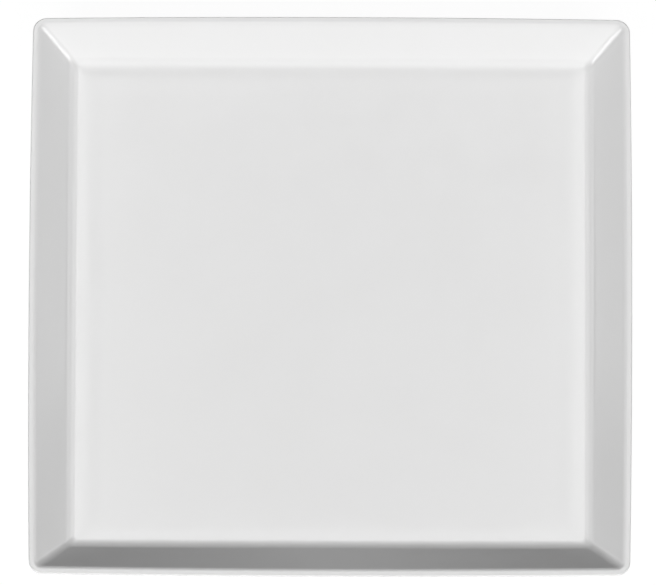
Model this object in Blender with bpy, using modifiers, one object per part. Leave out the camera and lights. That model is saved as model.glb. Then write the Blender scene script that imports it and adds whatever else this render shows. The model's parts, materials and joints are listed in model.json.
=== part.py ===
"""A square porcelain dinner plate: one fired body and the two coats of glaze fused to it.

Metres, +Z up. The origin is the middle of the square that the foot stands on.
"""

import math

import bmesh
import bpy

# Rim and walls
SIDE = 0.260  # across the plate, from the middle of one rim to the middle of the other
SIDE_BOW = 0.0009  # how far each rim falls back from its middle to its corners
RIM_CORNER = 0.0062  # plan radius of the rim's corners
MITRE_ROUND = 0.0028  # plan radius of the valley where two inner walls meet
WALL_SLOPE = math.radians(32.0)  # of the inner wall, from the horizontal
OUTER_SLOPE = math.radians(36.5)  # of the outside, steeper so that the wall thickens towards the base
RIM_EDGE = 0.00045  # rounding of the rim's upper edge
RIM_UNDER = 0.0009  # rounding of its lower edge, above the outside
RIM_LIP = 0.0012  # the level crest between the upper edge and the inner rounding
RIM_INNER_ROUND = 0.0044  # from the crest down into the well

# Well and base
WELL_DEPTH = 0.0095  # from the crest to the floor
FLOOR_ROUND = 0.0096  # between floor and walls
DISH_ROUND = 0.440  # the slow rise of the floor's border
DISH_SLOPE = math.radians(1.5)  # where that rise runs into the floor's rounding
FLOOR_THICKNESS = 0.0046
HEEL_ROUND = 0.0060  # between the outside of the walls and the base

# Foot ring
FOOT_HEIGHT = 0.0024
FOOT_SET_IN = 0.0050  # level base between the heel and the foot
FOOT_WIDTH = 0.0031  # the bare standing face, with its two edges
FOOT_DRAFT = math.radians(24.0)  # lean of the foot's sides
RECESS_CORNER = 0.0074  # plan radius of the recess inside the foot
FOOT_FILLET = 0.0008  # between the foot and the base
FOOT_EDGE = 0.0004  # rounding of the standing face's two edges

# Glaze
GLAZE = 0.0003  # thickness of the coat
BOND_GAP = 0.0003  # clearance between the coat and the body
BARE_BAND = 0.0010  # height of the unglazed tip of the foot
CLAY_EDGE = 0.0002  # least rounding of the body under the rim's upper edge

# Facets
SIDE_STEPS = 4
CORNER_STEPS = 5

QUARTER = math.pi / 2
HALF = SIDE / 2
BASE_Z = FOOT_HEIGHT
FLOOR_Z = BASE_Z + FLOOR_THICKNESS
CREST_Z = FLOOR_Z + WELL_DEPTH
UNDER_GLAZE = GLAZE + BOND_GAP
SLOPE_SIN = math.sin(WALL_SLOPE)
SLOPE_COS = math.cos(WALL_SLOPE)
DRAFT_TAN = math.tan(FOOT_DRAFT)
DRAFT_COS = math.cos(FOOT_DRAFT)

# The centres of the rim's inner and lower roundings, in a section through the middle of a side.
CREST = (HALF - RIM_EDGE - RIM_LIP, CREST_Z - RIM_INNER_ROUND)
UNDER = (HALF - RIM_UNDER, CREST_Z - RIM_UNDER)


def floor_round_x(z):
    """The x of the floor rounding's centre, at this height, where it runs smoothly into the inner wall."""
    reach = FLOOR_ROUND + RIM_INNER_ROUND
    return CREST[0] - (reach - (z - CREST[1]) * SLOPE_COS) / SLOPE_SIN


def heel_x(z):
    """The x of the heel's centre, at this height, where the heel runs smoothly into the outside."""
    outward = RIM_UNDER - HEEL_ROUND + (z - UNDER[1]) * math.cos(OUTER_SLOPE)
    return UNDER[0] + outward / math.sin(OUTER_SLOPE)


# The centres of the floor's rounding, of the slow rise that leads into it, and of the heel.
DISH_REACH = DISH_ROUND - FLOOR_ROUND
FLOOR_ROUND_Z = FLOOR_Z + DISH_ROUND - DISH_REACH * math.cos(DISH_SLOPE)
FLOOR = (floor_round_x(FLOOR_ROUND_Z), FLOOR_ROUND_Z)
DISH = (FLOOR[0] - DISH_REACH * math.sin(DISH_SLOPE), FLOOR_Z + DISH_ROUND)
HEEL = (heel_x(BASE_Z + HEEL_ROUND), BASE_Z + HEEL_ROUND)

# The foot's root is wider than its standing face.
FOOT_HALF = HEEL[0] - FOOT_SET_IN
FOOT_ROOT = FOOT_WIDTH + 2 * (UNDER_GLAZE / DRAFT_COS + FOOT_HEIGHT * DRAFT_TAN)
RECESS_HALF = FOOT_HALF - FOOT_ROOT


def clear_scene():
    for obj in list(bpy.data.objects):
        bpy.data.objects.remove(obj, do_unlink=True)


def side_bow(x):
    """The bow of a ring this far out: none at the foot, all of it at the rim."""
    return SIDE_BOW * min(max((x - FOOT_HALF) / (HALF - FOOT_HALF), 0), 1)


def arc(centre, radius, start, end, steps, facing=1):
    """Points with their outward normals. facing is 1 on a rounded edge and -1 in a fillet."""
    made = []
    for step in range(steps + 1):
        angle = start + (end - start) * step / steps
        along = (math.cos(angle), math.sin(angle))
        made.append(
            (
                centre[0] + radius * along[0],
                centre[1] + radius * along[1],
                facing * along[0],
                facing * along[1],
            )
        )
    return made


def with_plan(points, corner_of):
    """Each section point with the corner radius and bow of the ring that it stands for."""
    return [(*point, corner_of(point[0]), side_bow(point[0])) for point in points]


def face_section(rim_edge):
    """The glazed skin from the floor over the rim, down the outside and to the bare tip of the foot."""
    wall_top = CREST[0] - RIM_INNER_ROUND * SLOPE_SIN

    def rim_corner(x):
        """The sharp valley of the well opens into the round corner of the rim along the crest."""
        share = min(max((x - wall_top) / (HALF - wall_top), 0), 1)
        smooth = share * share * (3 - 2 * share)
        return MITRE_ROUND + (RIM_CORNER - MITRE_ROUND) * smooth

    inside = arc(DISH, DISH_ROUND, -QUARTER, DISH_SLOPE - QUARTER, 2, -1)[:-1]
    inside += arc(FLOOR, FLOOR_ROUND, DISH_SLOPE - QUARTER, WALL_SLOPE - QUARTER, 6, -1)
    inside += arc(CREST, RIM_INNER_ROUND, QUARTER + WALL_SLOPE, QUARTER, 4)
    inside += arc((HALF - rim_edge, CREST_Z - rim_edge), rim_edge, QUARTER, 0, 4)
    outside = arc(UNDER, RIM_UNDER, 0, OUTER_SLOPE - QUARTER, 3)
    outside += arc(HEEL, HEEL_ROUND, OUTER_SLOPE - QUARTER, -QUARTER, 3)
    return with_plan(inside, rim_corner) + with_plan(outside, lambda x: RIM_CORNER) + foot_side()


def foot_side():
    """The outer side of the foot, from its fillet under the base down to where the glaze stops."""
    centre = (FOOT_HALF + FOOT_FILLET * (1 / DRAFT_COS - DRAFT_TAN), BASE_Z - FOOT_FILLET)
    fillet = arc(centre, FOOT_FILLET, QUARTER, math.pi - FOOT_DRAFT, 3, -1)
    lowest_x = FOOT_HALF - (BASE_Z - BARE_BAND) * DRAFT_TAN
    lowest = (lowest_x, BARE_BAND, DRAFT_COS, -math.sin(FOOT_DRAFT))
    return with_plan(fillet + [lowest], foot_corner)


def foot_corner(x):
    """The rings of foot and recess share one centre at each corner."""
    return RECESS_CORNER + x - RECESS_HALF


def across_foot(section):
    """The same points on the inner side of the foot, in the order that goes on from the standing face."""
    both_sides = FOOT_HALF + RECESS_HALF
    return [
        (both_sides - x, z, -normal_x, normal_z, foot_corner(both_sides - x), bow)
        for x, z, normal_x, normal_z, _, bow in reversed(section)
    ]


def standing_edge():
    """The rounded outer edge of the bare standing face, on the clay's own side under the glaze."""
    side_x = FOOT_HALF - (BASE_Z - FOOT_EDGE) * DRAFT_TAN
    centre = (side_x - (UNDER_GLAZE + FOOT_EDGE) / DRAFT_COS, FOOT_EDGE)
    return with_plan(arc(centre, FOOT_EDGE, -FOOT_DRAFT, -QUARTER, 2), foot_corner)


def sunk(section):
    """The clay's own section under a glazed one, with its corners kept parallel."""
    made = []
    for x, z, normal_x, normal_z, corner, bow in section:
        inward = UNDER_GLAZE * normal_x
        made.append(
            (x - inward, z - UNDER_GLAZE * normal_z, normal_x, normal_z, corner - inward, bow)
        )
    return made


def ring_points(half, corner, bow, z):
    """A square with bowed sides and round corners, anticlockwise from the middle of its right side."""
    corner_at = half - bow - corner
    quarter = []
    for step in range(SIDE_STEPS // 2):
        along = corner_at * step / (SIDE_STEPS // 2)
        quarter.append((half - bow * (along / corner_at) ** 2, along))
    for step in range(CORNER_STEPS + 1):
        turn = QUARTER * step / CORNER_STEPS
        quarter.append((corner_at + corner * math.cos(turn), corner_at + corner * math.sin(turn)))
    for step in range(SIDE_STEPS // 2 - 1, 0, -1):
        along = corner_at * step / (SIDE_STEPS // 2)
        quarter.append((along, half - bow * (along / corner_at) ** 2))
    points = []
    for _ in range(4):
        points += [(x, y, z) for x, y in quarter]
        quarter = [(-y, x) for x, y in quarter]
    return points


def loft(name, section, cap_start, cap_end):
    """A mesh through the section's rings, with the ends that are asked for closed by flat faces."""
    shape = bmesh.new()
    rings = []
    for x, z, _, _, corner, bow in section:
        rings.append([shape.verts.new(point) for point in ring_points(x, corner, bow, z)])
    for inner, outer in zip(rings, rings[1:]):
        for here in range(len(inner)):
            there = (here + 1) % len(inner)
            shape.faces.new((inner[here], outer[here], outer[there], inner[there]))
    if cap_start:
        shape.faces.new(rings[0])
    if cap_end:
        shape.faces.new(reversed(rings[-1]))
    mesh = bpy.data.meshes.new(name)
    shape.to_mesh(mesh)
    shape.free()
    mesh.shade_smooth()
    mesh.set_sharp_from_angle(angle=math.radians(30))
    return mesh


def material(name, colour, roughness):
    made = bpy.data.materials.new(name)
    made.use_nodes = True
    shader = made.node_tree.nodes["Principled BSDF"]
    shader.inputs["Base Color"].default_value = (*colour, 1)
    shader.inputs["Roughness"].default_value = roughness
    shader.inputs["Metallic"].default_value = 0
    return made


def add_part(name, mesh, finish, collection, origin):
    part = bpy.data.objects.new(name, mesh)
    part.parent = origin
    mesh.materials.append(finish)
    collection.objects.link(part)
    return part


def add_coat(name, mesh, finish, collection, origin):
    """An open skin given the glaze's thickness on its clay side."""
    coat = add_part(name, mesh, finish, collection, origin)
    thickness = coat.modifiers.new("glaze_thickness", "SOLIDIFY")
    thickness.thickness = GLAZE
    thickness.offset = -1
    thickness.use_even_offset = True
    thickness.use_quality_normals = True


def build():
    clear_scene()
    plate = bpy.data.collections.new("square_plate")
    bpy.context.scene.collection.children.link(plate)
    origin = bpy.data.objects.new("plate_origin", None)
    plate.objects.link(origin)

    bare_porcelain = material("bare_porcelain", (0.80, 0.79, 0.77), 0.70)
    white_glaze = material("white_glaze", (0.83, 0.83, 0.83), 0.15)

    face = face_section(RIM_EDGE)
    clay_face = sunk(face_section(max(RIM_EDGE, UNDER_GLAZE + CLAY_EDGE)))
    recess = across_foot(foot_side())
    tip = standing_edge()
    body = clay_face + tip + across_foot(tip) + sunk(recess)

    body_mesh = loft("porcelain_body", body, cap_start=True, cap_end=True)
    add_part("porcelain_body", body_mesh, bare_porcelain, plate, origin)
    face_mesh = loft("face_glaze", face, cap_start=True, cap_end=False)
    add_coat("face_glaze", face_mesh, white_glaze, plate, origin)
    recess_mesh = loft("base_glaze", recess, cap_start=False, cap_end=True)
    add_coat("base_glaze", recess_mesh, white_glaze, plate, origin)


build()
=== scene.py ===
# %% [markdown]
# # A square porcelain plate
#
# This lesson dresses a white square dinner plate: one fired clay body and the two coats of glaze on it.
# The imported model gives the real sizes. It is loaded first and never changed, and every piece made here
# lies where one of its nodes lies, so that the plate can be measured, stacked and dropped as before.

# %% Load the frame
import json
import math

import bpy
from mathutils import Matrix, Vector


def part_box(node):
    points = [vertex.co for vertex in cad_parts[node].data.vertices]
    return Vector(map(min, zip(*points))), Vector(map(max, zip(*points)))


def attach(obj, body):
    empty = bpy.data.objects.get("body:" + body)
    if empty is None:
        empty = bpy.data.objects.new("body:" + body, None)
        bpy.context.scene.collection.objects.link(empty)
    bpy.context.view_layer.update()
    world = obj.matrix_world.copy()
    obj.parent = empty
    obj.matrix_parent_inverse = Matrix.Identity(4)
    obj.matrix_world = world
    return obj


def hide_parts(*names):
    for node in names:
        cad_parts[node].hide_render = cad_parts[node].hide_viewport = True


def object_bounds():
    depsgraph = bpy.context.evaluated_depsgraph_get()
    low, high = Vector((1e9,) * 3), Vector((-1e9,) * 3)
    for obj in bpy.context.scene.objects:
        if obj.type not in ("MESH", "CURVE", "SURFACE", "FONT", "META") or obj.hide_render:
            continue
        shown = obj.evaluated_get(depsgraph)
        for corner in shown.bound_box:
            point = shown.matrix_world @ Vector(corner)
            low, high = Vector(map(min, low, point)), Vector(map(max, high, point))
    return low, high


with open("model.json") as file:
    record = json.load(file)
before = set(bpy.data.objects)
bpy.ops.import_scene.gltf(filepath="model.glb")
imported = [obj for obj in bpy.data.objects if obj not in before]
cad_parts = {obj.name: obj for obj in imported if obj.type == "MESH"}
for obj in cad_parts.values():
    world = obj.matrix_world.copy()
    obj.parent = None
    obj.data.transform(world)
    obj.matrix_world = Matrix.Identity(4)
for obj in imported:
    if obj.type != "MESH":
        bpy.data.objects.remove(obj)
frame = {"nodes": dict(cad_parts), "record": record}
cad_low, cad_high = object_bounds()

MM = 1000  # in a metre

print("nodes:", sorted(frame["nodes"]))
print("box in mm:", [round(MM * size, 2) for size in cad_high - cad_low])

# %% [markdown]
# ## Sizes
#
# A plate's shape is one section, carried round a square. Some of its sizes can be read off the frame: the
# boxes of the nodes give the side, the crest of the rim and the edge of the glaze, and the mount on the
# floor gives the height of the floor. The roundings and slopes aren't in any box, so they are named here.

# %% Sizes from the frame
_, face_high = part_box("face_glaze")
recess_low, recess_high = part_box("base_glaze")
mounts = {mount["name"]: mount for mount in frame["record"]["mounts"]}

HALF = face_high.x  # half the side, at the middle of a rim
CREST_Z = face_high.z
FLOOR_Z = mounts["well_floor"]["pos_m"][2]
BARE_BAND = recess_low.z  # height of the unglazed tip of the foot
print(f"half side {HALF:.4f}, crest {CREST_Z:.4f}, floor {FLOOR_Z:.4f}, bare band {BARE_BAND:.4f}")

# %% Named sizes, in metres and radians
SIDE_BOW = 0.0009  # how far each rim falls back from its middle to its corners
RIM_CORNER = 0.0062  # plan radius of the rim's corners
MITRE_ROUND = 0.0028  # plan radius of the valley where two inner walls meet
WALL_SLOPE = math.radians(32.0)  # of the inner wall, from the horizontal
OUTER_SLOPE = math.radians(36.5)
RIM_EDGE = 0.00045  # rounding of the rim's upper edge
RIM_UNDER = 0.0009  # rounding of its lower edge
RIM_LIP = 0.0012  # the level crest
RIM_INNER_ROUND = 0.0044  # from the crest down into the well
FLOOR_ROUND = 0.0096  # between floor and walls
DISH_ROUND = 0.440  # the slow rise of the floor's border
DISH_SLOPE = math.radians(1.5)  # where that rise runs into the floor's rounding
HEEL_ROUND = 0.0060  # where the outside turns under
FOOT_SET_IN = 0.0050  # from the centre of that rounding in to the foot
FOOT_WIDTH = 0.0031  # of the standing face, before its edges are softened
FOOT_DRAFT = math.radians(24.0)  # lean of the sides of the foot
FOOT_FILLET = 0.0008  # between the foot and the underside
FOOT_EDGE = 0.0004  # softened edges of the standing face
RECESS_CORNER = 0.0074  # plan radius of the corners inside the foot
GLAZE = 0.0003  # thickness of a coat
BOND_GAP = 0.0003  # between a coat and the clay
CLAY_EDGE = 0.0002  # least rounding of the clay under the rim's upper edge

QUARTER = math.pi / 2
UNDER_GLAZE = GLAZE + BOND_GAP
BASE_Z = recess_high.z - GLAZE  # the coat's clay side is the top of its box
print(f"base {BASE_Z:.4f}, depth of the well {CREST_Z - FLOOR_Z:.4f}")

# %% [markdown]
# ## Camera
#
# The camera comes before the pieces, so that every look at them is through it. The rims on the left and
# right run parallel in the picture, which means a long lens from far away. How much shorter the plate
# looks from front to back than from side to side gives the height: a square seen from straight above
# stays square, and here it is squeezed to the sine of about 68 degrees.

# %% Make the camera
VIEW_ELEVATION = math.radians(67.9)
VIEW_AZIMUTH = math.radians(0.21)
CAMERA_DISTANCE = 11.5
SENSOR_WIDTH = 36  # mm
FRAME_PIXELS = 656  # width of the picture
PLATE_PIXELS = 603.5  # width of the plate in it
AIM_RIGHT_PIXELS = 2.5  # the plate's middle lies right of the picture's middle
AIM_DOWN_PIXELS = 2.8  # and below it

pixel = 2 * HALF / PLATE_PIXELS
toward_camera = Vector((
    math.sin(VIEW_AZIMUTH) * math.cos(VIEW_ELEVATION),
    -math.cos(VIEW_AZIMUTH) * math.cos(VIEW_ELEVATION),
    math.sin(VIEW_ELEVATION),
))
picture_right = Vector((math.cos(VIEW_AZIMUTH), math.sin(VIEW_AZIMUTH), 0))
picture_up = toward_camera.cross(picture_right)
aim = Vector((0, 0, CREST_Z))
aim -= picture_right * AIM_RIGHT_PIXELS * pixel
aim += picture_up * AIM_DOWN_PIXELS * pixel

camera_data = bpy.data.cameras.new("plate_camera")
camera_data.sensor_width = SENSOR_WIDTH
camera_data.lens = SENSOR_WIDTH * CAMERA_DISTANCE / (FRAME_PIXELS * pixel)
camera_data.clip_end = 2 * CAMERA_DISTANCE
camera = bpy.data.objects.new("plate_camera", camera_data)
camera.location = aim + toward_camera * CAMERA_DISTANCE
camera.rotation_euler = toward_camera.to_track_quat("Z", "Y").to_euler()
bpy.context.scene.collection.objects.link(camera)
bpy.context.scene.camera = camera
print(f"lens {camera_data.lens:.0f} mm, one pixel is {MM * pixel:.3f} mm of plate")

# %% [markdown]
# ## Drawing a section
#
# A maker presses a plate like this in a mould, so its section is made of straight runs and true arcs. Each
# section point here carries its place and the direction that the surface faces. The direction is what
# lets the same drawing serve twice: the glaze is the line itself, and the clay is the same line moved
# inward. Points along a straight run keep the shading of a flat wall flat.

# %% Arcs and straight runs
def arc(centre, radius, start, end, steps, facing=1):
    """Points as (x, z, facing x, facing z). facing is 1 on a rounded edge and -1 in a fillet."""
    made = []
    for step in range(steps + 1):
        angle = start + (end - start) * step / steps
        across, up = math.cos(angle), math.sin(angle)
        made.append((centre[0] + radius * across, centre[1] + radius * up, facing * across, facing * up))
    return made


def joined(*runs, steps=8):
    """One line through the runs, with points along the straight stretch from each run to the next."""
    line = list(runs[0])
    for run in runs[1:]:
        here, there = line[-1], run[0]
        for step in range(1, steps):
            share = (1 - math.cos(math.pi * step / steps)) / 2
            line.append(tuple(a + (b - a) * share for a, b in zip(here, there)))
        line += run
    return line


def sunk(section, depth):
    """The same line this far under the surface, with its corners kept parallel."""
    made = []
    for x, z, facing_x, facing_z, corner, bow in section:
        inward = depth * facing_x
        made.append((x - inward, z - depth * facing_z, facing_x, facing_z, corner - inward, bow))
    return made


print("a quarter arc of 4 steps has", len(arc((0, 0), 1, 0, QUARTER, steps=4)), "points")

# %% [markdown]
# ## From a section to a square
#
# A round plate would be turned with a Screw modifier. A square one needs a ring of its own for each
# section point: a square with slightly bowed sides and round corners. All rings have the same number of
# points, so neighbours join with plain quads. The points crowd towards the corners, where the mitres need
# them, and stand far apart in the middle of a side, which is nearly straight.

# %% Rings and lofts
SIDE_STEPS = 14
CORNER_STEPS = 10
SHARP_FROM = math.radians(40)  # edges that turn more than this are shaded sharp


def ring_points(half, corner, bow, z):
    """A square with bowed sides and round corners, anticlockwise from the middle of its right side."""
    corner_at = half - bow - corner
    shares = [1 - (1 - step / SIDE_STEPS) ** 2 for step in range(SIDE_STEPS)]
    side = [(half - bow * share * share, corner_at * share) for share in shares]
    turns = [QUARTER * step / CORNER_STEPS for step in range(CORNER_STEPS + 1)]
    turned = [(corner_at + corner * math.cos(turn), corner_at + corner * math.sin(turn)) for turn in turns]
    quarter = side + turned + [(y, x) for x, y in reversed(side[1:])]
    points = []
    for _ in range(4):
        points += [(x, y, z) for x, y in quarter]
        quarter = [(-y, x) for x, y in quarter]
    return points


def loft(name, section):
    """A closed mesh through the section's rings, with flat caps on its first and last one."""
    points = []
    faces = []
    for x, z, _, _, corner, bow in section:
        points += ring_points(x, corner, bow, z)
    around = len(points) // len(section)
    for ring in range(len(section) - 1):
        for here in range(around):
            there = (here + 1) % around
            inner, outer = ring * around, (ring + 1) * around
            faces.append((inner + here, outer + here, outer + there, inner + there))
    last = len(points) - around
    faces.append(tuple(range(around)))
    faces.append(tuple(reversed(range(last, last + around))))
    mesh = bpy.data.meshes.new(name)
    mesh.from_pydata(points, [], faces)
    mesh.shade_smooth()
    mesh.set_sharp_from_angle(angle=SHARP_FROM)
    piece = bpy.data.objects.new(name, mesh)
    bpy.context.scene.collection.objects.link(piece)
    print(name, len(section), "rings,", len(faces), "faces")
    return piece


print("a ring has", len(ring_points(HALF, RIM_CORNER, SIDE_BOW, CREST_Z)), "points")

# %% [markdown]
# ## The line of the glazed face
#
# The top coat runs from the middle of the floor up the sloping wall, over the narrow rim, down the
# outside and round the heel to the foot, where it stops short of the table: a potter wipes the foot
# clean, or the plate would stick to the kiln shelf. Two things change along the way. The sides are
# straight at the foot and bow outward a little at the rim, and the tight mitre of the inner walls opens
# into the round corner of the rim. The floor is level in the middle and rises at its border by a degree
# and a half. That is too little to see, but enough to catch a band of light along the walls.

# %% Centres of the roundings
crest = (HALF - RIM_EDGE - RIM_LIP, CREST_Z - RIM_INNER_ROUND)
under = (HALF - RIM_UNDER, CREST_Z - RIM_UNDER)

dish_reach = DISH_ROUND - FLOOR_ROUND
bend_z = FLOOR_Z + DISH_ROUND - dish_reach * math.cos(DISH_SLOPE)
fall = FLOOR_ROUND + RIM_INNER_ROUND - (bend_z - crest[1]) * math.cos(WALL_SLOPE)
bend = (crest[0] - fall / math.sin(WALL_SLOPE), bend_z)  # between floor and wall
dish = (bend[0] - dish_reach * math.sin(DISH_SLOPE), FLOOR_Z + DISH_ROUND)

heel_z = BASE_Z + HEEL_ROUND
lean = HEEL_ROUND - RIM_UNDER + (under[1] - heel_z) * math.cos(OUTER_SLOPE)
heel = (under[0] - lean / math.sin(OUTER_SLOPE), heel_z)
foot_half = heel[0] - FOOT_SET_IN
foot_root = FOOT_WIDTH + 2 * (UNDER_GLAZE / math.cos(FOOT_DRAFT) + BASE_Z * math.tan(FOOT_DRAFT))
recess_half = foot_half - foot_root
wall_top = crest[0] - RIM_INNER_ROUND * math.sin(WALL_SLOPE)
print(f"flat floor {2 * MM * dish[0]:.1f} mm, foot {2 * MM * foot_half:.1f} mm across")


# %% How the plan changes from ring to ring
def rim_corner(x):
    """Tight in the well, opening along the crest into the rim's corner."""
    share = min(max((x - wall_top) / (HALF - wall_top), 0), 1)
    smooth = share * share * (3 - 2 * share)
    return min(MITRE_ROUND + (RIM_CORNER - MITRE_ROUND) * smooth, x / 2)


def foot_corner(x):
    """The rings of foot and recess share one centre at each corner."""
    return RECESS_CORNER + x - recess_half


def with_plan(points, corner_of):
    """Each section point with the corner radius and the bow of its ring."""
    made = []
    for x, z, facing_x, facing_z in points:
        share = min(max((x - foot_half) / (HALF - foot_half), 0), 1)
        made.append((x, z, facing_x, facing_z, corner_of(x), SIDE_BOW * share))
    return made


print(f"mitre radius {MM * rim_corner(bend[0]):.1f} mm, rim corner {MM * rim_corner(HALF):.1f} mm")

# %% The face's line, stretch by stretch
FLOOR_RINGS = 9


def over_rim(rim_edge):
    """From the middle of the floor up the wall and over the rim, with an upper edge of this rounding."""
    level = [(dish[0] * ring / FLOOR_RINGS, FLOOR_Z, 0, 1) for ring in range(1, FLOOR_RINGS)]
    rise = arc(dish, DISH_ROUND, -QUARTER, DISH_SLOPE - QUARTER, steps=8, facing=-1)[:-1]
    rise += arc(bend, FLOOR_ROUND, DISH_SLOPE - QUARTER, WALL_SLOPE - QUARTER, steps=16, facing=-1)
    inner = arc(crest, RIM_INNER_ROUND, QUARTER + WALL_SLOPE, QUARTER, steps=12)
    upper = arc((HALF - rim_edge, CREST_Z - rim_edge), rim_edge, QUARTER, 0, steps=8)
    return with_plan(joined(joined(level, rise, inner), upper, steps=4), rim_corner)


outside = joined(
    arc(under, RIM_UNDER, 0, OUTER_SLOPE - QUARTER, steps=7),
    arc(heel, HEEL_ROUND, OUTER_SLOPE - QUARTER, -QUARTER, steps=10),
)
fillet_x = foot_half + FOOT_FILLET * (1 / math.cos(FOOT_DRAFT) - math.tan(FOOT_DRAFT))
fillet = (fillet_x, BASE_Z - FOOT_FILLET)
foot_fillet = arc(fillet, FOOT_FILLET, QUARTER, math.pi - FOOT_DRAFT, steps=7, facing=-1)
bead_reach = GLAZE / 2 * (1 - math.sin(FOOT_DRAFT))  # room for the bead that ends the coat
wiped_z = BARE_BAND + bead_reach
wiped_x = foot_half - (BASE_Z - wiped_z) * math.tan(FOOT_DRAFT)
foot_line = joined(
    foot_fillet,
    [(wiped_x, wiped_z, math.cos(FOOT_DRAFT), -math.sin(FOOT_DRAFT))],
    steps=4,
)
outside_line = with_plan(outside, lambda x: RIM_CORNER) + with_plan(foot_line, foot_corner)
face_line = over_rim(RIM_EDGE) + outside_line
print("the face's line has", len(face_line), "points")

# %% [markdown]
# ## The two coats of glaze
#
# Glaze is a skin of glass about a third of a millimetre thick, fused to the clay. A Solidify modifier
# would give a plain skin its thickness. Here the line is closed instead: out along the surface,
# round the edge at the foot, and back along the clay side. The edge is a small half round, because
# melted glass draws itself into a bead where it was wiped off.

# %% Close a coat
BEAD_STEPS = 6


def coat(name, line, faces_down=False):
    """A closed skin of glaze on a line, with a rounded bead where it ends."""
    x, z, facing_x, facing_z, corner, bow = line[-1]
    run_x, run_z = x - line[-2][0], z - line[-2][1]
    run = math.hypot(run_x, run_z)
    middle_x, middle_z = x - facing_x * GLAZE / 2, z - facing_z * GLAZE / 2
    bead = []
    for step in range(1, BEAD_STEPS):
        turn = math.pi * step / BEAD_STEPS
        out, on = math.cos(turn) * GLAZE / 2, math.sin(turn) * GLAZE / 2
        bead_x = middle_x + facing_x * out + run_x / run * on
        bead_z = middle_z + facing_z * out + run_z / run * on
        bead.append((bead_x, bead_z, facing_x, facing_z, corner + bead_x - x, bow))
    made = loft(name, line + bead + sunk(line, GLAZE)[::-1])
    if faces_down:
        made.data.flip_normals()
    return made


face_coat = coat("face_glaze_coat", face_line)

# %% [markdown]
# The coat in the recess under the plate is the same drawing again. Its line starts in the middle of the
# base and comes down the inner side of the foot, which mirrors the outer side. Nobody sees it while the
# plate stands, but a plate is often carried and washed, so it is finished like the rest.

# %% The coat in the recess
def across_foot(points):
    """The same points on the inner side of the foot."""
    return [(foot_half + recess_half - x, z, -facing_x, facing_z) for x, z, facing_x, facing_z in points]


base_line = []
for ring in range(1, FLOOR_RINGS):
    base_line.append((recess_half * ring / FLOOR_RINGS, BASE_Z, 0, -1))
recess_line = with_plan(
    joined(base_line, across_foot(foot_line), steps=4),
    lambda x: min(foot_corner(max(x, recess_half)), x / 2),
)
recess_coat = coat("base_glaze_coat", recess_line, faces_down=True)

# %% [markdown]
# ## The fired body
#
# Under the glaze lies the clay, the piece that carries everything. Its line is the two glazed lines sunk
# under the surface, joined through the foot's standing face. That face is the only bare clay on the
# plate, ground flat with two softened edges.

# %% The clay under both coats
tip_x = foot_half - (BASE_Z - FOOT_EDGE) * math.tan(FOOT_DRAFT)
tip_centre = (tip_x - (UNDER_GLAZE + FOOT_EDGE) / math.cos(FOOT_DRAFT), FOOT_EDGE)
outer_tip = arc(tip_centre, FOOT_EDGE, -FOOT_DRAFT, -QUARTER, steps=6)
inner_tip = across_foot(outer_tip)[::-1]
standing_line = with_plan(joined(outer_tip, inner_tip, steps=4), foot_corner)
clay_face = over_rim(max(RIM_EDGE, UNDER_GLAZE + CLAY_EDGE)) + outside_line
body_line = sunk(clay_face, UNDER_GLAZE) + standing_line + sunk(recess_line, UNDER_GLAZE)[::-1]
body = loft("porcelain_body_clay", body_line)

# %% [markdown]
# ## Small helpers for finishes
#
# A finish in Blender is a tree of nodes. It can be wired up by hand in the Shader Editor, but in a script
# each node takes several lines, and the same few come back in every finish of this plate. So each of them
# gets a short function that adds the node, sets it, links it and hands back its output. The finishes
# below then read like recipes.

# %% Node helpers
def nodes_of(tree):
    """Two functions for a node tree: one adds a node, the other links two sockets."""

    def add(kind, **settings):
        node = tree.nodes.new(kind)
        for key, value in settings.items():
            setattr(node, key, value)
        return node

    return add, tree.links.new


def new_finish(name):
    """A material, its Principled shader and the two functions for its nodes."""
    finish = bpy.data.materials.new(name)
    finish.use_nodes = True
    return finish, finish.node_tree.nodes["Principled BSDF"], *nodes_of(finish.node_tree)


print("materials before the finishes:", len(bpy.data.materials))

# %% Patterns
PATTERN_LOW, PATTERN_HIGH = 0.3, 0.7  # most of a noise lies between these


def noise(add, link, place, scale, detail):
    """A noise pattern in object space, so that it stays on the piece when the piece moves."""
    node = add("ShaderNodeTexNoise")
    node.inputs["Scale"].default_value = scale
    node.inputs["Detail"].default_value = detail
    link(place.outputs["Object"], node.inputs["Vector"])
    return node.outputs["Fac"]


def remap(add, link, pattern, low, high):
    """A noise spread over another range."""
    node = add("ShaderNodeMapRange")
    node.inputs["From Min"].default_value = PATTERN_LOW
    node.inputs["From Max"].default_value = PATTERN_HIGH
    node.inputs["To Min"].default_value = low
    node.inputs["To Max"].default_value = high
    link(pattern, node.inputs["Value"])
    return node.outputs["Result"]


def colours_along(add, link, value, *stops):
    """A colour ramp through stops of (position, colour)."""
    ramp = add("ShaderNodeValToRGB")
    elements = ramp.color_ramp.elements
    while len(elements) < len(stops):
        elements.new(0.5)
    for element, (position, colour) in zip(elements, stops):
        element.position = position
        element.color = (*colour, 1)
    link(value, ramp.inputs["Fac"])
    return ramp.outputs["Color"]


print("patterns are spread from", PATTERN_LOW, "to", PATTERN_HIGH)


# %% Sums, products and bumps
def worked_out(add, link, operation, *values):
    """A Math node on sockets and plain numbers."""
    node = add("ShaderNodeMath", operation=operation)
    for value, entry in zip(values, node.inputs):
        if isinstance(value, float):
            entry.default_value = value
        else:
            link(value, entry)
    return node.outputs[0]


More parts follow.
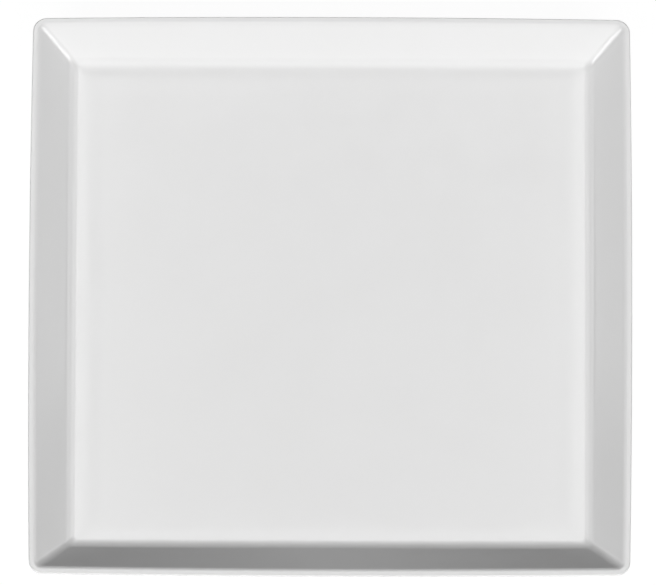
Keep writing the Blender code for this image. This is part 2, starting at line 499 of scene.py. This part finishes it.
def multiplied(add, link, colour, shade):
    """A colour darkened or tinted by another."""
    node = add("ShaderNodeMix", data_type="RGBA", blend_type="MULTIPLY")
    node.inputs["Factor"].default_value = 1
    link(colour, node.inputs["A"])
    link(shade, node.inputs["B"])
    return node.outputs["Result"]


def bumped(add, link, height, strength, distance):
    """Normals as if the surface rose and fell by this distance."""
    node = add("ShaderNodeBump")
    node.inputs["Strength"].default_value = strength
    node.inputs["Distance"].default_value = distance
    link(height, node.inputs["Height"])
    return node.outputs["Normal"]


def grey(tone):
    """The same tone of red, green and blue."""
    return (tone, tone, tone)


print("a middle grey is", grey(0.5))

# %% [markdown]
# ## Glaze finish
#
# White porcelain gets its colour from the clay and its shine from the glass over it, which is what the
# Principled shader's diffuse base and dielectric gloss already stand for. What keeps it from looking like
# plastic is small. White glaze runs down the walls while it melts, so it lies thicker and whiter in the
# rounding of the floor, and thin and a touch greyer on the rim. That whiter band is also painted light: a
# glow along the floor's border that stands in for the light the walls bounce onto it. Its surface has a
# faint ripple from the melt, and its polish isn't the same all over. The measure for thick and thin is the
# distance from the middle, taken the square way: the larger of x and y.

# %% White glaze
GLAZE_WHITE = 0.817  # where it is thickest
GLAZE_CLOUD = (0.990, 0.989, 0.987)  # share of that white in its faint clouds
FLOOR_TONE = 0.995  # share of that white on the floor
WALL_TONE = 0.985
RIM_TONE = 0.96
# the whiter band from the floor's rise to its bend is pooled glaze and also a painted glow for light
# bounced off the walls
POOL_AND_GLOW_STARTS = (-0.03, 0.05)  # about the start of the floor's rise, in shares of the half side
POOL_AND_GLOW_ENDS = (0.03, 0.06)  # about the bend between floor and wall
CLOUDS_PER_METRE = 30
SMEARS_PER_METRE = 90
RIPPLES_PER_METRE = 170
RIPPLE_HEIGHT = 0.00002
RIPPLE_STRENGTH = 0.25
POLISH_BEST, POLISH_WORST = 0.05, 0.10
GLASS_IOR = 1.5


def tone_and_painted_glow_by_distance(add, link, place):
    """Full white where the glaze pools and where a glow is painted for light the walls bounce onto the
    floor, greyer towards the rim, by the square distance.
    """
    split = add("ShaderNodeSeparateXYZ")
    link(place.outputs["Object"], split.inputs["Vector"])
    across, along = [worked_out(add, link, "ABSOLUTE", split.outputs[axis]) for axis in "XY"]
    larger = worked_out(add, link, "MAXIMUM", across, along)
    rise, turn = dish[0] / HALF, bend[0] / HALF
    return colours_along(
        add,
        link,
        worked_out(add, link, "DIVIDE", larger, HALF),
        (0.0, grey(FLOOR_TONE)),
        (rise + POOL_AND_GLOW_STARTS[0], grey(FLOOR_TONE)),
        (rise + POOL_AND_GLOW_STARTS[1], grey(1.0)),
        (turn + POOL_AND_GLOW_ENDS[0], grey(1.0)),
        (turn + POOL_AND_GLOW_ENDS[1], grey(WALL_TONE)),
        (wall_top / HALF, grey(WALL_TONE)),
        (crest[0] / HALF, grey(RIM_TONE)),
        (1.0, grey(RIM_TONE)),
    )


def white_glaze():
    """Clear glass over white, with faint clouds, ripples and smears."""
    finish, shader, add, link = new_finish("white_glaze")
    place = add("ShaderNodeTexCoord")
    colour = colours_along(
        add,
        link,
        noise(add, link, place, CLOUDS_PER_METRE, detail=4),
        (PATTERN_LOW, [GLAZE_WHITE * share for share in GLAZE_CLOUD]),
        (PATTERN_HIGH, grey(GLAZE_WHITE)),
    )
    # painted glow: the tone ramp whitens the floor's border, where the walls would bounce light onto it
    pooled_and_glowing = multiplied(add, link, colour, tone_and_painted_glow_by_distance(add, link, place))
    link(pooled_and_glowing, shader.inputs["Base Color"])
    smears = noise(add, link, place, SMEARS_PER_METRE, detail=3)
    link(remap(add, link, smears, POLISH_BEST, POLISH_WORST), shader.inputs["Roughness"])
    ripples = noise(add, link, place, RIPPLES_PER_METRE, detail=2)
    link(bumped(add, link, ripples, RIPPLE_STRENGTH, RIPPLE_HEIGHT), shader.inputs["Normal"])
    shader.inputs["IOR"].default_value = GLASS_IOR
    return finish


glaze_finish = white_glaze()
print("glaze nodes:", len(glaze_finish.node_tree.nodes))

# %% [markdown]
# ## Bare clay finish
#
# Where the foot was wiped, fired porcelain is dry and matt, a shade warmer than the glaze, with a grain as
# fine as flour and a few darker specks. Grinding on a wet wheel leaves it smooth to the touch, so the
# bump is small and the roughness high. A noise for the grain and cells for the specks are enough.

# %% Bare porcelain
GRAINS_PER_METRE = 2600
SPECKS_PER_METRE = 420
GRAIN_DARK, GRAIN_PALE = (0.72, 0.705, 0.68), (0.80, 0.79, 0.77)
GRAIN_PALE_FROM = 0.65
SPECK_TINT = (0.82, 0.8, 0.77)  # share of the grain's colour
SPECK_MIDDLE, SPECK_EDGE = 0.05, 0.12  # distance from a cell's point
GRAIN_SMOOTH, GRAIN_ROUGH = 0.62, 0.8
GRAIN_HEIGHT = 0.00004
GRAIN_STRENGTH = 0.4


def bare_porcelain():
    """Dry fired clay with a fine grain and a few specks."""
    finish, shader, add, link = new_finish("bare_porcelain")
    place = add("ShaderNodeTexCoord")
    grain = noise(add, link, place, GRAINS_PER_METRE, detail=5)
    tint = colours_along(add, link, grain, (PATTERN_LOW, GRAIN_DARK), (GRAIN_PALE_FROM, GRAIN_PALE))
    cells = add("ShaderNodeTexVoronoi")
    cells.inputs["Scale"].default_value = SPECKS_PER_METRE
    link(place.outputs["Object"], cells.inputs["Vector"])
    distance = cells.outputs["Distance"]
    specks = colours_along(add, link, distance, (SPECK_MIDDLE, SPECK_TINT), (SPECK_EDGE, grey(1.0)))
    link(multiplied(add, link, tint, specks), shader.inputs["Base Color"])
    link(remap(add, link, grain, GRAIN_SMOOTH, GRAIN_ROUGH), shader.inputs["Roughness"])
    link(bumped(add, link, grain, GRAIN_STRENGTH, GRAIN_HEIGHT), shader.inputs["Normal"])
    return finish


clay_finish = bare_porcelain()
print("clay nodes:", len(clay_finish.node_tree.nodes))

# %% [markdown]
# ## Set the pieces on the frame
#
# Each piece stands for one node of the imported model, takes its finish from the slot that the record
# names, and rides on the plate's only body.

# %% Ride, replace and finish
for piece, node, slot, finish in (
    (face_coat, "face_glaze", "white_glaze", glaze_finish),
    (recess_coat, "base_glaze", "white_glaze", glaze_finish),
    (body, "porcelain_body", "bare_porcelain", clay_finish),
):
    piece.data.materials.append(finish)
    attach(piece, "root")
    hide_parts(node)
    low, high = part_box(node)
    grown = [MM * (a - b) for a, b in zip(piece.dimensions, high - low)]
    print(piece.name, "against its node, in mm:", [round(change, 3) for change in grown])

# %% [markdown]
# ## Floor
#
# The plate stands on white, with hardly a shadow. Pouring light on a floor until it burns out would burn
# out the plate as well. Instead, the floor is plain pale paint to the light that bounces off it, and a
# little lamp of its own only to rays that come from the camera or a reflection. Part of the painted
# floor is kept under it, so that the plate's shadow stays.

# %% White to the eye
FLOOR_REACH = 3.0
FLOOR_PAINT = 0.80
FLOOR_ROUGHNESS = 0.9
FLOOR_GLOW = 0.96
FLOOR_SHADOW_PAINT = 0.08


def seen_or_mirrored(add, link, mirrored=1.0):
    """1 on rays from the camera or through glass, the given value on reflections, 0 on bounced light."""
    rays = add("ShaderNodeLightPath").outputs
    straight = worked_out(add, link, "MAXIMUM", rays["Is Camera Ray"], rays["Is Transmission Ray"])
    glossy = worked_out(add, link, "MULTIPLY", rays["Is Glossy Ray"], mirrored)
    return worked_out(add, link, "MAXIMUM", straight, glossy)


def white_floor():
    """Pale paint to bounced light, and a white glow over a little paint to the eye."""
    finish, shader, add, link = new_finish("white_floor")
    shader.inputs["Base Color"].default_value = (*grey(FLOOR_PAINT), 1)
    shader.inputs["Roughness"].default_value = FLOOR_ROUGHNESS
    shader.inputs["Specular IOR Level"].default_value = 0
    glow = add("ShaderNodeEmission")
    glow.inputs["Strength"].default_value = FLOOR_GLOW
    paint = add("ShaderNodeBsdfDiffuse")
    paint.inputs["Color"].default_value = (*grey(FLOOR_SHADOW_PAINT), 1)
    both = add("ShaderNodeAddShader")
    link(glow.outputs["Emission"], both.inputs[0])
    link(paint.outputs["BSDF"], both.inputs[1])
    either = add("ShaderNodeMixShader")
    link(seen_or_mirrored(add, link), either.inputs["Fac"])
    link(shader.outputs["BSDF"], either.inputs[1])
    link(both.outputs["Shader"], either.inputs[2])
    link(either.outputs["Shader"], finish.node_tree.nodes["Material Output"].inputs["Surface"])
    return finish


corners = [(x * FLOOR_REACH, y * FLOOR_REACH, cad_low.z) for x, y in ((-1, -1), (1, -1), (1, 1), (-1, 1))]
floor_mesh = bpy.data.meshes.new("studio_floor")
floor_mesh.from_pydata(corners, [], [range(len(corners))])
floor_mesh.materials.append(white_floor())
studio_floor = bpy.data.objects.new("studio_floor", floor_mesh)
bpy.context.scene.collection.objects.link(studio_floor)
print("floor", 2 * FLOOR_REACH, "m across")

# %% [markdown]
# ## Room
#
# Behind the floor is the world, which has no end. It is white to the camera and adds no light, in the same
# way as the floor, with one change: in reflections, its far end is grey. The near wall of the plate leans
# away from the camera and mirrors that end, and a wall that mirrored white could not be as dark as it is.

# %% The room behind the floor
FAR_END_FROM = 0.6  # 1 is straight to the far side
FAR_END_GREY = 0.4


def white_room():
    """A world that is white to the eye, with a grey far end in reflections."""
    world = bpy.data.worlds.new("white_room")
    world.use_nodes = True
    add, link = nodes_of(world.node_tree)
    split = add("ShaderNodeSeparateXYZ")
    link(add("ShaderNodeTexCoord").outputs["Generated"], split.inputs["Vector"])
    far_end = add("ShaderNodeMapRange", interpolation_type="SMOOTHSTEP")
    far_end.inputs["From Min"].default_value = FAR_END_FROM
    far_end.inputs["To Min"].default_value = 1
    far_end.inputs["To Max"].default_value = FAR_END_GREY
    link(split.outputs["Y"], far_end.inputs["Value"])
    room = world.node_tree.nodes["Background"]
    room.inputs["Color"].default_value = (*grey(1.0), 1)
    link(seen_or_mirrored(add, link, far_end.outputs["Result"]), room.inputs["Strength"])
    return world


bpy.context.scene.world = white_room()
print("room nodes:", len(bpy.context.scene.world.node_tree.nodes))

# %% [markdown]
# ## Light
#
# The tones of the four walls say where the light came from: the far wall, which faces the camera, is the
# brightest, the near wall is dark, and the two sides are alike. So the key light is a bank of softboxes on
# the camera's side, helped by one over the far rim and one overhead. Each softbox is an area lamp given by
# its direction, its size and its brightness as a mirror would show it, where 1 is white. The brightness
# times the area times pi is the lamp's power in watts. The lamps hang so far away that the light is the
# same all over the plate. The keys are bright: seen from behind, the plate's floor would mirror them and
# burn out. So their Glossy ray visibility is off, and a fainter softbox before each of them shows in its
# place.

# %% Softboxes
LAMP_DISTANCE = 40.0
CAMERA_SIDE, FAR_SIDE = 0, 180  # degrees round the plate
HANDS = ((-1, "left"), (1, "right"))


def softbox(name, azimuth, elevation, width, height, brightness, distance=LAMP_DISTANCE):
    """An area lamp aimed at the plate. Its place and size are in degrees, as seen from the plate."""
    around, up = math.radians(azimuth), math.radians(elevation)
    direction = Vector((math.cos(up) * math.sin(around), -math.cos(up) * math.cos(around), math.sin(up)))
    lamp_data = bpy.data.lights.new(name, "AREA")
    lamp_data.shape = "RECTANGLE"
    lamp_data.size = 2 * distance * math.tan(math.radians(width / 2))
    lamp_data.size_y = 2 * distance * math.tan(math.radians(height / 2))
    lamp_data.energy = brightness * math.pi * lamp_data.size * lamp_data.size_y
    lamp = bpy.data.objects.new(name, lamp_data)
    lamp.location = direction * distance
    lamp.rotation_euler = direction.to_track_quat("Z", "Y").to_euler()
    bpy.context.scene.collection.objects.link(lamp)
    print(f"{name}: {lamp_data.size:.2f} by {lamp_data.size_y:.2f} m, {lamp_data.energy:.0f} W")
    return lamp


KEY_IN_MIRROR = 1.4  # white is 1
KEY_CARD_DISTANCE = 36.0  # just before the keys


def key(name, *place, brightness):
    """A softbox that lights the plate, and before it a fainter one that only shows in reflections."""
    softbox(name, *place, brightness).visible_glossy = False
    softbox(f"{name}_in_mirror", *place, KEY_IN_MIRROR, KEY_CARD_DISTANCE).visible_diffuse = False


# name, then azimuth, elevation, width and height, then brightness
key("key_middle", CAMERA_SIDE, 34, 34, 20, brightness=2.6)
for side, hand in HANDS:
    key(f"key_{hand}", side * 36, 32, 30, 20, brightness=8.4)
softbox("over_far_rim", FAR_SIDE, 64.5, 7.5, 10, 3.2)
softbox("overhead", FAR_SIDE, 89, 16, 36, 2.15)

# %% [markdown]
# ## What the glaze mirrors
#
# A glossy white thing is half lit and half mirror. Photographers put white cards around it to draw its
# edges, and so does this scene. A card is a softbox with its Diffuse ray visibility off: it shows in the
# glaze, but adds no light to the white under it. Each card is named after the part of the plate that
# mirrors it. To find its place, turn the direction to the camera about the normal of that part. A wall
# that slopes by 32 degrees, for example, mirrors what stands 64 degrees from what the floor mirrors. The
# cards for the near wall, the side walls and their roundings stand close, because a near card fades along
# a wall, and the walls do fade. The near wall's card is a stack of strips of growing width, one behind the
# other: together they fade to the sides, where one card would show a hard edge in the plate's floor when
# seen from low down.

# %% Cards around the plate
NEAR_CARD = 2.0
STRIPS = 5
STRIP_GAP = 0.02
STRIP_BRIGHTNESS = 0.19


def card(*lamp, distance=LAMP_DISTANCE):
    """A softbox that only shows in reflections."""
    softbox(*lamp, distance).visible_diffuse = False


# name, then azimuth, elevation, width and height, then brightness
card("near_border", FAR_SIDE, 62.3, 12, 8.6, 1.7)
card("near_rounding", FAR_SIDE, 51.5, 14, 15, 2.4)
card("near_rounding_low", FAR_SIDE, 28, 14, 32, 1.2)
card("far_rounding", FAR_SIDE, 86, 14, 28, 1.0)
card("far_border", FAR_SIDE, 70.9, 12, 2.4, 2.1)
card("far_wall_foot", CAMERA_SIDE, 67, 14, 12, 1.1)
for width in range(1, STRIPS + 1):
    behind = NEAR_CARD + STRIP_GAP * width
    card(f"near_wall_{width}", FAR_SIDE, 5, width, 8, STRIP_BRIGHTNESS, distance=behind)
for side, hand in HANDS:
    card(f"side_border_{hand}", side * 172, 66.5, 4.5, 5, 1.6)
    card(f"lip_{hand}", side * 158, 66, 8, 8, 1.8)
    card(f"lip_rounding_{hand}", side * 141, 60, 12, 10, 2.4)
    card(f"side_rounding_{hand}", side * 127, 42, 12, 22, 1.8, distance=NEAR_CARD)
    card(f"side_wall_{hand}", side * 120, 24, 10, 9, 1.25, distance=NEAR_CARD)
    card(f"far_mitre_{hand}", side * 72, 54, 24, 10, 5.5)

# %% [markdown]
# ## View
#
# Standard keeps colours as they are written.

# %% View
bpy.context.scene.view_settings.view_transform = "Standard"
